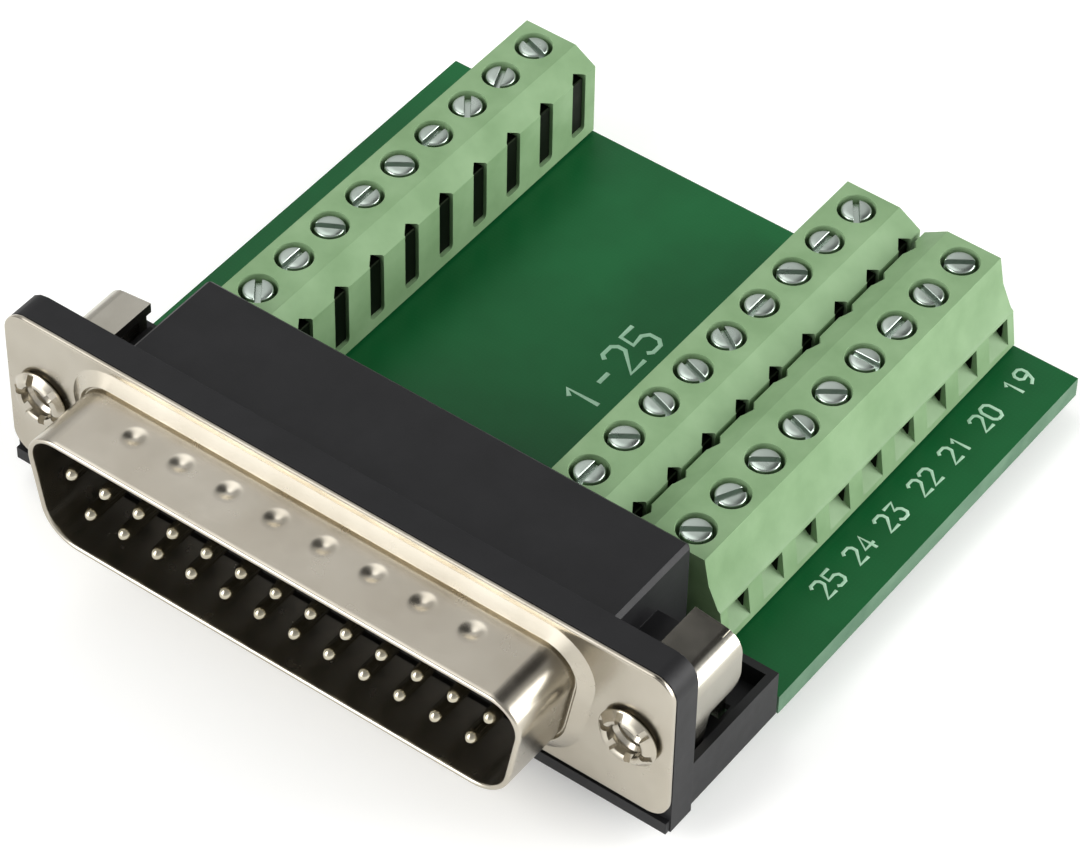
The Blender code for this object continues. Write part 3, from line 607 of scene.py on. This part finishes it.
# %% Brackets
BRACKET = dict(inner=21.85, outer=25.5, top=2.3, front=2.85, rear=9.0, sheet=0.8, bend=1.6,
               lean=0.45, flap=-1.9, foot=-4.45)
LOCK_FROM, LOCK_TO, LOCK_PRONG, LOCK_BARB = 0.45, 2.65, 0.8, 0.4
LOCK_TOP, LOCK_FORK, LOCK_SHOULDER, LOCK_END = 2.2, -5.4, -7.85, -9.1
INSERT_BORE = 1.65


def mirror_x(points, side):
    """The same outline for the left bracket (side -1) or the right one (side 1)."""
    return np.asarray(points, float) * np.array([side, 1.0])


def lock_outline():
    """Forked leg of the board lock: two prongs with a barb outside each."""
    left, right = BRACKET["inner"] + LOCK_FROM, BRACKET["inner"] + LOCK_TO
    prong, barb = LOCK_PRONG, LOCK_BARB
    half = [(left, LOCK_TOP), (left, LOCK_SHOULDER), (left - barb, LOCK_SHOULDER),
            (left + barb, LOCK_END), (left + prong, LOCK_END), (left + prong, LOCK_FORK)]
    return half + [(left + right - x, z) for x, z in reversed(half)]


def bracket(side):
    """Folded strip, trimmed side, front plate and board lock, joined and softened at the edges."""
    b = BRACKET
    high = b["top"] + b["lean"] / 2
    low = b["top"] - b["lean"] / 2
    section = rounded([(b["inner"], high), (b["outer"], low), (b["outer"], b["foot"]),
                       (b["outer"] - b["sheet"], b["foot"]),
                       (b["outer"] - b["sheet"], low - b["sheet"]), (b["inner"], high - b["sheet"])],
                      [0, b["bend"], 0, 0, b["bend"] - b["sheet"], 0], arc=10)
    name = "bracket_fold_" + ("right" if side > 0 else "left")
    piece = prism(name, mirror_x(section, side), "y", b["front"], b["rear"])
    behind = b["rear"] + 0.02
    trim = rounded([(behind + 1, 0.4), (behind, 0.4), (behind, b["flap"]), (5.7, b["flap"]),
                    (4.55, b["foot"] - 0.8), (behind + 1, b["foot"] - 0.8)],
                   [0, 0, 1.0, 0.3, 0, 0], arc=8)
    ends = sorted([side * (b["outer"] - 1.6), side * (b["outer"] + 1)])
    cut(piece, "DIFFERENCE", prism("trim", trim, "x", *ends))
    front = rounded([(b["inner"], b["top"] - 0.05), (b["outer"] - 0.1, low - 0.05),
                     (b["outer"] - 0.1, b["foot"]), (b["inner"], b["foot"])], [0, 1.5, 0, 0], arc=8)
    plate = prism("plate", mirror_x(front, side), "y", b["front"] + 0.01, b["front"] + b["sheet"])
    lock = prism("lock", mirror_x(lock_outline(), side), "y", b["rear"] - b["sheet"] + 0.01,
                 b["rear"] - 0.01)
    cut(piece, "UNION", plate, lock)
    bore = lathe("bore", [(INSERT_BORE, 2.0), (INSERT_BORE, 5.5)], (side * INSERT_X, 0, 0), "y", 32)
    cut(piece, "DIFFERENCE", bore)
    return smooth(bevel(piece, 0.07, 2, 40), 50)


# %% [markdown]
# A threaded insert is swaged through each bracket and the flange, and a jack screw of the other
# connector fits it. Its crown is split by three cuts. The thread is cut as rings, one for each
# turn: at this size a ring looks like a helix, and a closed section turned about its axis makes it
# without an open end.

# %% Threaded inserts
THREAD_TURNS, THREAD_PITCH, THREAD_START = 8, 0.635, 4.5
THREAD_ROOT, THREAD_CREST = 1.45, 1.2
CROWN = [(1.3, -0.72), (1.42, -0.82), (1.55, -0.85), (1.68, -0.82), (1.86, -0.64), (2.1, -0.44),
         (2.18, -0.36), (2.18, -0.28), (2.12, -0.25), (1.7, -0.25), (1.7, 4.75), (1.6, 4.85),
         (1.3, 4.85)]
CROWN_CUTS, CROWN_CUT_HALF, CROWN_CUT_DEPTH = (15, 75, 135), 0.28, (-1.0, -0.42)
INSERT_SIDES = 40


def insert_profile():
    """Outside of the insert from front to rear, then its threaded bore back to the front."""
    thread = []
    for k in range(THREAD_TURNS):
        start = THREAD_START - k * THREAD_PITCH
        thread += [(THREAD_ROOT, start), (THREAD_ROOT, start - 0.16),
                   (THREAD_CREST, start - 0.28), (THREAD_CREST, start - 0.36)]
    return np.array(CROWN + thread)


def insert(side):
    """A turned ring whose section is a closed loop, so the last row joins the first."""
    profile = insert_profile()
    angle = np.linspace(0, 2 * math.pi, INSERT_SIDES, endpoint=False)[None, :]
    radius, depth = profile[:, 0, None], profile[:, 1, None]
    points = np.stack([side * INSERT_X + radius * np.cos(angle), depth + 0 * angle,
                       radius * np.sin(angle)], axis=-1)
    name = "threaded_insert_" + ("right" if side > 0 else "left")
    piece = build(name, points * MM + DATUM, grid_faces(len(profile), INSERT_SIDES, True, True))
    near, far = CROWN_CUT_DEPTH
    for turn in CROWN_CUTS:
        bar = block("bar", (-3, near, -CROWN_CUT_HALF), (3, far, CROWN_CUT_HALF))
        bar.data.transform(Matrix.Translation(DATUM) @ Matrix.Rotation(math.radians(turn), 4, "Y")
                           @ Matrix.Translation(-Vector(DATUM)))
        bar.data.transform(Matrix.Translation((side * INSERT_X * MM, 0, 0)))
        cut(piece, "DIFFERENCE", bar)
    return smooth(piece, 35)


for side, word in ((1, "right"), (-1, "left")):
    dress(bracket(side), tin, stands_for=["bracket_" + word])
    dress(insert(side), nickel)

# %% [markdown]
# The board keeps the frame's outline and holes. Its faces get the mask and its sawn sides the bare
# laminate. Which is which needs no second mesh: a face that looks up or down is masked, and any
# other is sawn or drilled.

# %% Circuit board
board = from_node("printed_board", "circuit_board")
normals = np.zeros(len(board.data.polygons) * 3)
board.data.polygons.foreach_get("normal", normals)
sawn_faces = (np.abs(normals.reshape(-1, 3)[:, 2]) < 0.5).astype(np.int32)
dress(board, [mask, sawn], stands_for=["circuit_board"])
board.data.polygons.foreach_set("material_index", sawn_faces)
print("board faces", len(sawn_faces), "of which sawn", int(sawn_faces.sum()))

# %% [markdown]
# Under the board each tail stands in a pad with a small cone of solder, which climbs the tail in a
# hollow curve, because molten solder wets both the pad and the tail. One profile is turned for
# every tail, with a smaller pad for the plug's contacts than for the terminals.

# %% Solder joints
PIN_JOINT, TERMINAL_JOINT = (0.33, 0.72), (0.5, 1.05)


def joint(x, y, tail, pad, steps=8):
    """Radius falls from the pad to the tail as the height rises: r = tail + (pad - tail) (1 - t)^2.5."""
    t = np.linspace(0.0, 1.0, steps)
    film = BOARD_UNDER - 0.05
    profile = np.column_stack([tail + (pad - tail) * (1 - t) ** 2.5, film - 0.85 * t])
    profile = np.concatenate([[(pad + 0.18, BOARD_UNDER)], [(pad + 0.18, film)], profile])
    return lathe("joint", profile, (x, y, 0), "z", 16)


joints = []
for number in range(1, PINS + 1):
    x, _, back = pin_place(number)
    joints.append(joint(x, back, *PIN_JOINT))
joints += [joint(x, y, *TERMINAL_JOINT) for x in ROW_X.values() for y in POLES]
dress(smooth(merged("solder_joints", joints), 40), solder)

# %% [markdown]
# A terminal housing is one section drawn along the row: narrow top, slanted back, and a front that
# widens to the foot. Each pole has a round well for its screw, an entry for its wire in front and
# a slot with a pointed top in the back. Rounded edges of a tenth of a millimetre catch the light,
# which tells the eye that it is plastic and how small it is.

# %% Terminal housings
SECTION = [(2.0, 1.3), (-2.25, 1.3), (-4.0, 0.2), (-4.0, -5.75), (3.8, -5.75), (3.42, -2.95),
           (3.42, -2.8), (3.2, -2.6), (2.4, -0.83)]
ENTRY_HALF = 1.15
ENTRY = [(-1.3, -2.95), (4.3, -2.95), (4.3, -5.8), (2.6, -4.2), (-1.3, -4.2)]
SLOT = rounded([(0, 0.55), (-0.75, 0.24), (-0.75, -4.85), (0.75, -4.85), (0.75, 0.24)],
               [0.06, 0.15, 0.35, 0.35, 0.15], arc=3)
SLOT_FROM, SLOT_TO = 2.0, 4.3
WELL = [(1.35, -2.45), (1.35, 1.22), (1.45, 1.4)]


def terminal_housing(row):
    """The section's u runs towards the entries, so a row that faces the other way is mirrored."""
    side, x = ENTRY_SIDE[row], ROW_X[row]

    def place(outline):
        return [(x + side * u, v) for u, v in outline]

    piece = prism("terminal_housing_" + row, place(SECTION), "y", BLOCK_NEAR, BLOCK_NEAR + 9 * PITCH)
    across = sorted([x - side * SLOT_TO, x - side * SLOT_FROM])
    tools = []
    for y in POLES:
        tools.append(lathe("well", WELL, (x, y, 0), "z", 32))
        tools.append(prism("entry", place(ENTRY), "y", y - ENTRY_HALF, y + ENTRY_HALF))
        tools.append(prism("slot", SLOT + np.array([y, 0]), "x", *across))
    cut(piece, "DIFFERENCE", merged("tools", tools))
    return smooth(bevel(tidy(piece), 0.09, 2, 30), 40)


for row in ROW_X:
    dress(terminal_housing(row), green, stands_for=["terminal_block_" + row])

# %% [markdown]
# Behind each slot and each entry stands the steel cage that the screw lifts against the wire. Only its
# faces show, a little inside the green wall, so a bevelled block for each face does it. The blocks are
# coloured near black with a green tint. This is painted shade for the dark inside of the slots and
# entries, not the cage's own plated grey, and a thin plate along each entry's far wall is painted shade
# alone. The contact ends in a square tail that goes down through the board.

# %% Clamp cages and solder tails
CAGE_BEHIND_SLOT = [(-3.8, -0.69, -4.7), (-2.05, 0.69, -0.1)]
CAGE_IN_ENTRY = [(-1.2, -1.1, -4.15), (2.0, 1.1, -3.0)]
# A thin dark plate along each entry's far wall, there only as painted shade.
ENTRY_WALL_SHADE_PLATE = [(-1.2, 1.0, -4.9), (3.2, 1.14, -2.98)]
TAIL_HALF, TAIL_FROM, TAIL_TO = 0.45, -5.85, -9.1


def cage_faces(row, y):
    """The blocks of one pole, with u turned towards the row's own entry side."""
    side, x = ENTRY_SIDE[row], ROW_X[row]
    return [block("cage", *[(x + side * corner[0], y + corner[1], corner[2]) for corner in corners])
            for corners in (CAGE_BEHIND_SLOT, CAGE_IN_ENTRY, ENTRY_WALL_SHADE_PLATE)]


def square_tail(x, y):
    """The contact's tail under a pole."""
    return block("tail", (x - TAIL_HALF, y - TAIL_HALF, TAIL_TO),
                 (x + TAIL_HALF, y + TAIL_HALF, TAIL_FROM))


# The cages and the wall plates carry the painted shade of the slots and entries.
cages = merged("clamp_cages_painted_shade", [face for row in ROW_X for y in POLES for face in cage_faces(row, y)])
dress(bevel(cages, 0.08, 1), cage_painted_shade_steel)
tails = merged("terminal_tails", [square_tail(x, y) for x in ROW_X.values() for y in POLES])
dress(bevel(tails, 0.1, 1), solder)

# %% [markdown]
# A clamping screw is turned, with a chamfer round its head and a slot sawn across it. All 27 are
# alike, so one is made and copied. Real screws stop at any angle, and the frame says at which: the
# slot's direction is the long axis of the slot's floor there. Each screw rides on its own body and
# turns with it.

# %% Clamping screws
SCREW_TOP, SCREW_FOOT, SCREW_RADIUS = 1.25, -2.2, 1.075
SLOT_WIDTH, SLOT_DEPTH, FRAME_SLOT_FLOOR = 0.45, 0.5, 0.5
HEAD = [(0.55, 0), (0.9, -0.015), (1.0, -0.05), (SCREW_RADIUS, -0.16),
        (SCREW_RADIUS, SCREW_FOOT - SCREW_TOP)]


def slot_direction(node):
    """Long axis of the points on the slot's floor, by the largest spread."""
    co = points_of(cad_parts[node].data)
    floor = co[np.abs(co[:, 2] - DATUM[2] - FRAME_SLOT_FLOOR * MM) < 0.02 * MM][:, :2]
    spread_of = np.cov((floor - floor.mean(axis=0)).T)
    axis = np.linalg.eigh(spread_of)[1][:, -1]
    return math.atan2(axis[1], axis[0])


def screw_shape():
    """Lathe profile with a chamfered head, then a slot with its own small chamfer."""
    screw = lathe("screw_shape", HEAD, (0, 0, SCREW_TOP), "z", 40)
    half = SLOT_WIDTH / 2
    slot = block("slot", (-2, -half, SCREW_TOP - SLOT_DEPTH), (2, half, SCREW_TOP + 1))
    cut(screw, "DIFFERENCE", slot)
    return bake_modifiers(bevel(screw, 0.04, 1, 50))


def clamping_screw(row, number, shape):
    """A copy of the shape, turned to its slot's direction and moved to its node's middle."""
    node = "screw_%s_%d" % (row, number)
    low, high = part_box(node)
    middle = (low + high) / 2
    mesh = shape.data.copy()
    mesh.transform(Matrix.Translation((middle.x, middle.y, 0))
                   @ Matrix.Rotation(slot_direction(node), 4, "Z")
                   @ Matrix.Translation((-DATUM[0], -DATUM[1], 0)))
    screw = smooth(placed("clamp_screw_%s_%d" % (row, number), mesh), 40)
    return dress(screw, zinc, "%s_screw_%d" % (row, number), [node])


shape = screw_shape()
for row in ROW_X:
    for number in range(1, len(POLES) + 1):
        clamping_screw(row, number, shape)
print("27 screws of", len(shape.data.polygons), "faces")
bpy.data.objects.remove(shape, do_unlink=True)

# %% [markdown]
# The print on the board is an ink line of one width, as board makers draw it: each digit is a few
# strokes on a small grid. A text object would bring a typeface with strokes of its own, so the
# digits are drawn here from corners, and a bevelled curve flattened to the ink's thickness gives
# the stroke.

# %% Printed numbers
DIGITS = {
    "0": [[(0.15, 0), (0, 0.2), (0, 0.8), (0.15, 1), (0.45, 1), (0.6, 0.8), (0.6, 0.2), (0.45, 0),
           (0.15, 0)]],
    "1": [[(0.1, 0.8), (0.3, 1), (0.3, 0)]],
    "2": [[(0, 0.85), (0.12, 1), (0.48, 1), (0.6, 0.85), (0.6, 0.62), (0, 0), (0.62, 0)]],
    "3": [[(0, 1), (0.6, 1), (0.28, 0.6), (0.48, 0.58), (0.6, 0.42), (0.6, 0.15), (0.45, 0),
           (0.15, 0), (0, 0.15)]],
    "4": [[(0.45, 0), (0.45, 1), (0, 0.32), (0.65, 0.32)]],
    "5": [[(0.58, 1), (0.06, 1), (0.02, 0.56), (0.42, 0.6), (0.6, 0.45), (0.6, 0.15), (0.45, 0),
           (0.12, 0), (0, 0.12)]],
    "6": [[(0.5, 1), (0.2, 0.85), (0, 0.4), (0, 0.15), (0.15, 0), (0.45, 0), (0.6, 0.15),
           (0.6, 0.4), (0.45, 0.55), (0.1, 0.5)]],
    "7": [[(0, 1), (0.6, 1), (0.22, 0)]],
    "8": [[(0.15, 0.54), (0, 0.7), (0, 0.87), (0.15, 1), (0.45, 1), (0.6, 0.87), (0.6, 0.7),
           (0.45, 0.54), (0.15, 0.54), (0, 0.38), (0, 0.14), (0.15, 0), (0.45, 0), (0.6, 0.14),
           (0.6, 0.38), (0.45, 0.54)]],
    "9": [[(0.1, 0), (0.4, 0.15), (0.6, 0.6), (0.6, 0.85), (0.45, 1), (0.15, 1), (0, 0.85),
           (0, 0.6), (0.15, 0.45), (0.5, 0.5)]],
    "-": [[(0.08, 0.48), (0.52, 0.48)]],
}
DIGIT_WIDTH, DIGIT_STEP, INK_FLATNESS = 0.6, 0.86, 0.12


def bake_curve(guide):
    """Mesh of a curve object, which is removed."""
    bpy.context.view_layer.update()
    depsgraph = bpy.context.evaluated_depsgraph_get()
    mesh = bpy.data.meshes.new_from_object(guide.evaluated_get(depsgraph))
    bpy.data.objects.remove(guide, do_unlink=True)
    return mesh


def print_text(words, centre, size, stroke, direction=90):
    """Strokes of a word about a centre (x, y) in the datum, reading along a direction."""
    width = DIGIT_STEP * len(words) - (DIGIT_STEP - DIGIT_WIDTH)
    curve = bpy.data.curves.new("ink", "CURVE")
    curve.dimensions = "3D"
    curve.bevel_depth = stroke / 2 * MM
    curve.bevel_resolution = 2
    curve.use_fill_caps = True
    turn = Matrix.Rotation(math.radians(direction), 4, "Z")
    for i, letter in enumerate(words):
        for line in DIGITS[letter]:
            spline = curve.splines.new("POLY")
            spline.points.add(len(line) - 1)
            for point, (u, v) in zip(spline.points, line):
                flat = Vector(((u + DIGIT_STEP * i - width / 2) * size, (v - 0.5) * size, 0))
                point.co = (*(turn @ flat * MM), 1.0)
    mesh = bake_curve(placed("ink", curve))
    x, y, z = np.array([centre[0], centre[1], BOARD_TOP]) * MM + DATUM
    mesh.transform(Matrix.Translation((x, y, z)) @ Matrix.Diagonal((1.0, 1.0, INK_FLATNESS, 1.0)))
    return placed("ink_" + words, mesh)


RIGHT_NUMBERS = {"25": 22.2, "24": 25.9, "23": 29.5, "22": 33.5, "21": 37.2, "20": 40.9, "19": 45.1}
NUMBERS_X, DIGIT_HEIGHT, INK_WIDTH = 23.4, 1.5, 0.25
prints = [print_text(word, (NUMBERS_X, y), DIGIT_HEIGHT, INK_WIDTH)
          for word, y in RIGHT_NUMBERS.items()]
prints += [print_text(str(9 - i), (-NUMBERS_X, y), DIGIT_HEIGHT, INK_WIDTH)
           for i, y in enumerate(POLES)]
dress(smooth(merged("printed_numbers", prints), 60), ink)
contact_range = print_text("1-25", (0.9, 29.5), 2.6, 0.34)
dress(smooth(contact_range, 60), faded_ink)

# %% [markdown]
# The floor is plain white paper. To the camera, and to metal that mirrors it, it shines a little by
# itself, so that it stays white beside the object's soft shadow. Brighter lamps would do that too,
# but they would bleach the object.

# %% Floor
FLOOR_HALF = 1500 * MM
FLOOR_GLOW = 0.25


def white_floor():
    """Matt white, with a glow for camera, glossy and transmission rays alone."""
    mat = bpy.data.materials.new("white_paper_floor")
    mat.use_nodes = True
    tree = mat.node_tree
    shader = tree.nodes["Principled BSDF"]
    shader.inputs["Base Color"].default_value = linear("#F4F4F2")
    shader.inputs["Roughness"].default_value = 0.9
    path = add(tree, "LightPath").outputs
    seen = path["Is Camera Ray"]
    for ray in ("Is Glossy Ray", "Is Transmission Ray"):
        seen = add(tree, "Math", {0: seen, 1: path[ray]}, operation="MAXIMUM").outputs[0]
    shader.inputs["Emission Color"].default_value = (1.0, 1.0, 1.0, 1.0)
    tree.links.new(spread(tree, seen, 0.0, FLOOR_GLOW), shader.inputs["Emission Strength"])
    return mat


corners = [(x * FLOOR_HALF, y * FLOOR_HALF, 0) for x, y in ((-1, -1), (1, -1), (1, 1), (-1, 1))]
floor = build("floor", corners, [(0, 1, 2, 3)])
floor.data.materials.append(white_floor())

# %% [markdown]
# The light is a wide soft studio: a grey dome, paler near the horizon, with one large lamp in front
# to the left and one low behind to the right, which whitens the bracket's fold. Metal shows what
# stands around it, so the dome has soft round panels where a photographer puts boards of card. A
# dark one gives the bracket's top and the skirt's corner their deep grey.

# %% Light
HORIZON, ZENITH, DARKEST = 0.78, 0.39, 0.02
PANELS = {
    "behind, for the skirt's top": ((-0.48, 0.54, 0.69), 0.93, 0.985, 0.42),
    "high behind, for the dents": ((-0.40, 0.20, 0.89), 0.955, 0.988, 2.0),
    "dark, for the bracket's top": ((0.0, 0.56, 0.83), 0.935, 0.985, -0.75),
    "low in front, for the bead": ((-0.41, -0.90, 0.14), 0.80, 0.95, 1.8),
    "low on the right, for the wing": ((0.87, 0.48, 0.08), 0.75, 0.95, 0.9),
}


def studio_dome():
    """Grey from horizon to top, plus panels: each rises by its gain between two cosines."""
    world = bpy.data.worlds.new("studio_dome")
    bpy.context.scene.world = world
    world.use_nodes = True
    tree = world.node_tree
    sky = tree.nodes["Background"]
    look = add(tree, "TexCoord").outputs["Generated"]
    height = add(tree, "SeparateXYZ", {"Vector": look}).outputs["Z"]
    level = add(tree, "MapRange", {"Value": height, "From Min": 0.05, "From Max": 0.75,
                                   "To Min": HORIZON, "To Max": ZENITH}).outputs["Result"]
    for towards, edge, core, gain in PANELS.values():
        cosine = add(tree, "VectorMath", {0: look, 1: tuple(Vector(towards).normalized())},
                     operation="DOT_PRODUCT").outputs["Value"]
        panel = add(tree, "MapRange", {"Value": cosine, "From Min": edge, "From Max": core,
                                       "To Min": 0.0, "To Max": gain},
                    interpolation_type="SMOOTHSTEP").outputs["Result"]
        level = add(tree, "Math", {0: level, 1: panel}, operation="ADD").outputs[0]
    level = add(tree, "Math", {0: level, 1: DARKEST}, operation="MAXIMUM").outputs[0]
    tree.links.new(level, sky.inputs["Color"])


def lamp(name, place, size, watts):
    """Square area lamp that looks at the object's middle."""
    data = bpy.data.lights.new(name, "AREA")
    data.size = size
    data.energy = watts
    obj = placed(name, data)
    obj.location = place
    obj.rotation_euler = (-Vector(place)).to_track_quat("-Z", "Y").to_euler()


studio_dome()
lamp("front_softbox", (-0.26, -0.42, 0.36), 0.34, 1.8)
lamp("rear_softbox", (0.46, 0.40, 0.19), 0.44, 4.2)

# %% [markdown]
# The camera stands where the photograph's camera stood: its place, turn and focal length were
# fitted to the pins, the flange and the screw rows, with no shift. Its three axes are worked out
# from the azimuth, the elevation and a small roll, and make the columns of its matrix.

# %% Camera
AZIMUTH, ELEVATION, ROLL = (math.radians(v) for v in (35.793, 46.139, 1.191))
FOCAL_PIXELS, PHOTO_WIDTH = 4589.9, 1080
CAMERA_PLACE = (0.123999, -0.170323, 0.222896)

camera_data = bpy.data.cameras.new("camera")
camera = placed("camera", camera_data)
camera_data.sensor_width = 36.0
camera_data.lens = FOCAL_PIXELS * camera_data.sensor_width / PHOTO_WIDTH
camera_data.clip_start, camera_data.clip_end = 0.01, 10.0
back = np.array([math.sin(AZIMUTH) * math.cos(ELEVATION), -math.cos(AZIMUTH) * math.cos(ELEVATION),
                 math.sin(ELEVATION)])
right = np.array([math.cos(AZIMUTH), math.sin(AZIMUTH), 0.0])
up = np.cross(right, -back)
across = math.cos(ROLL) * right + math.sin(ROLL) * up
upright = -math.sin(ROLL) * right + math.cos(ROLL) * up
turn = Matrix(np.column_stack([across, upright, back]).tolist())
camera.matrix_world = Matrix.Translation(CAMERA_PLACE) @ turn.to_4x4()
bpy.context.scene.camera = camera
bpy.context.scene.view_settings.view_transform = "Standard"
